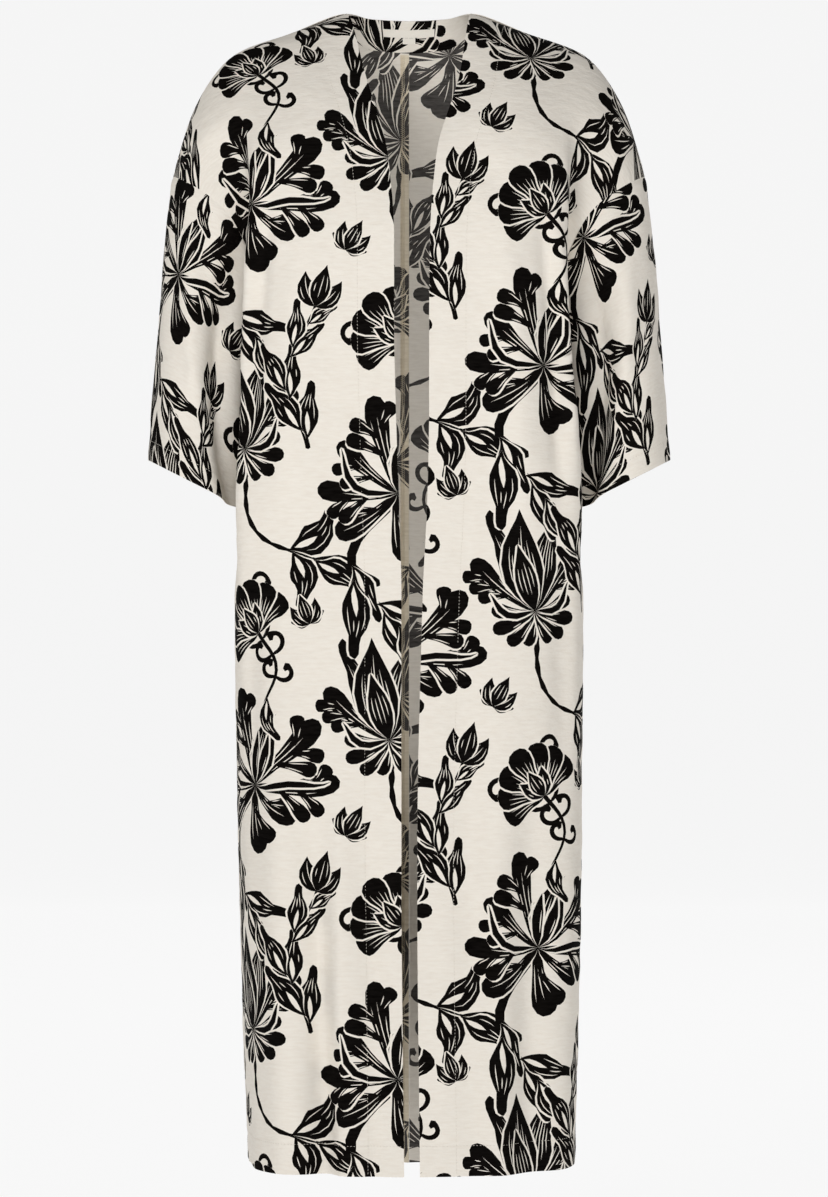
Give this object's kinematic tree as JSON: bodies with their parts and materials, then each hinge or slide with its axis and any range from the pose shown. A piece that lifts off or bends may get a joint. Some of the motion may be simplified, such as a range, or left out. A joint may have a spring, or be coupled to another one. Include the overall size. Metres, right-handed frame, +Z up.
{
  "type": "kaftan",
  "caption": "Open-front kaftan of light printed crepe, filled out as worn: collarless V neck, dropped shoulders, wide elbow-length sleeves, long straight body, centre-back seam.",
  "frame": {"origin": "midway between the two neck points of the shoulder seams, where the wearer's shoulders hold it up", "axes": "+Z up, -Y out of the open front, +X towards the wearer's left"},
  "size_m": [0.582, 0.2612, 1.3001],
  "materials": {
    "printed_crepe": "crinkled crepe, black floral print",
    "facing_crepe": "crinkled crepe, black floral print",
    "overlocked_edge": "overlocked raw edge",
    "woven_label": "woven satin, bare"
  },
  "bodies": {
    "root": {"front_left": "printed_crepe", "front_right": "printed_crepe", "back_left": "printed_crepe", "back_right": "printed_crepe", "sleeve_left": "printed_crepe", "sleeve_right": "printed_crepe", "back_neck_facing": "facing_crepe", "back_seam_allowance": "overlocked_edge", "neck_label": "woven_label", "size_tab": "woven_label"}
  },
  "joints": []
}
